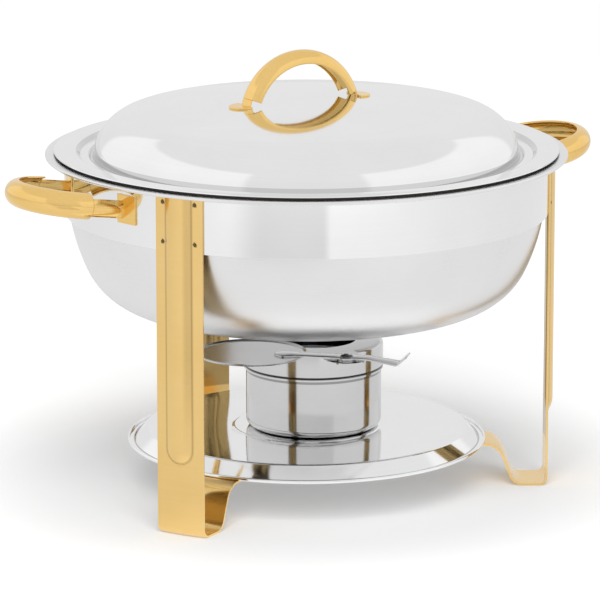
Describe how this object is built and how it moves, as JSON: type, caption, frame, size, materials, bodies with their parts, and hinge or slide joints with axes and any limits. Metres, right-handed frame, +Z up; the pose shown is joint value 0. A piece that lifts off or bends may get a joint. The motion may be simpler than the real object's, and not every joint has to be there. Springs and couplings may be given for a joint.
{
  "type": "chafing dish food warmer",
  "caption": "Round chafing dish: domed lid over a food pan and a water bowl, carried by a band on ribbed legs above a tray with a fuel holder and its swing damper.",
  "frame": {"origin": "on the floor, at the bottom centre of the whole object, under the dish's axis", "axes": "+Z up along the dish's axis, +X towards the right side handle, -Y the front with the fuel holder between the two front legs"},
  "size_m": [0.4406, 0.35, 0.2966],
  "materials": {
    "polished_steel": "mirror polished stainless steel sheet",
    "satin_steel": "satin stainless steel sheet",
    "gilt": "polished gold coloured plating on steel",
    "pale_gilt": "pale gold coloured plating on steel"
  },
  "bodies": {
    "frame": {"frame_band": "polished_steel", "leg_front_left": "pale_gilt", "leg_front_right": "pale_gilt", "leg_back": "pale_gilt", "side_handle_left": "gilt", "side_handle_right": "gilt", "fuel_tray": "polished_steel"},
    "water_pan": {"water_pan": "satin_steel"},
    "food_pan": {"food_pan": "satin_steel"},
    "lid": {"lid_dome": "polished_steel", "lid_handle": "gilt"},
    "fuel_holder": {"fuel_cup": "polished_steel"},
    "fuel_cap": {"fuel_cap": "polished_steel", "damper_rivet": "satin_steel", "damper_washer": "polished_steel"},
    "damper": {"damper_disc": "polished_steel", "damper_arm": "polished_steel"}
  },
  "joints": [
    {"name": "water_pan_lift", "type": "slide", "parent": "frame", "child": "water_pan", "axis": [0, 0, 1], "range_m": [0, 0.25]},
    {"name": "food_pan_lift", "type": "slide", "parent": "water_pan", "child": "food_pan", "axis": [0, 0, 1], "range_m": [0, 0.15]},
    {"name": "lid_lift", "type": "slide", "parent": "food_pan", "child": "lid", "axis": [0, 0, 1], "range_m": [0, 0.15]},
    {"name": "fuel_holder_slide", "type": "slide", "parent": "frame", "child": "fuel_holder", "axis": [0, -1, 0], "range_m": [0, 0.24]},
    {"name": "fuel_cap_lift", "type": "slide", "parent": "fuel_holder", "child": "fuel_cap", "axis": [0, 0, 1], "range_m": [0, 0.012]},
    {"name": "damper_swing", "type": "hinge", "parent": "fuel_cap", "child": "damper", "pos_m": [-0.0073, -0.06566, 0.0993], "axis": [0, 0, 1], "range_deg": [-58.7, 32]}
  ]
}
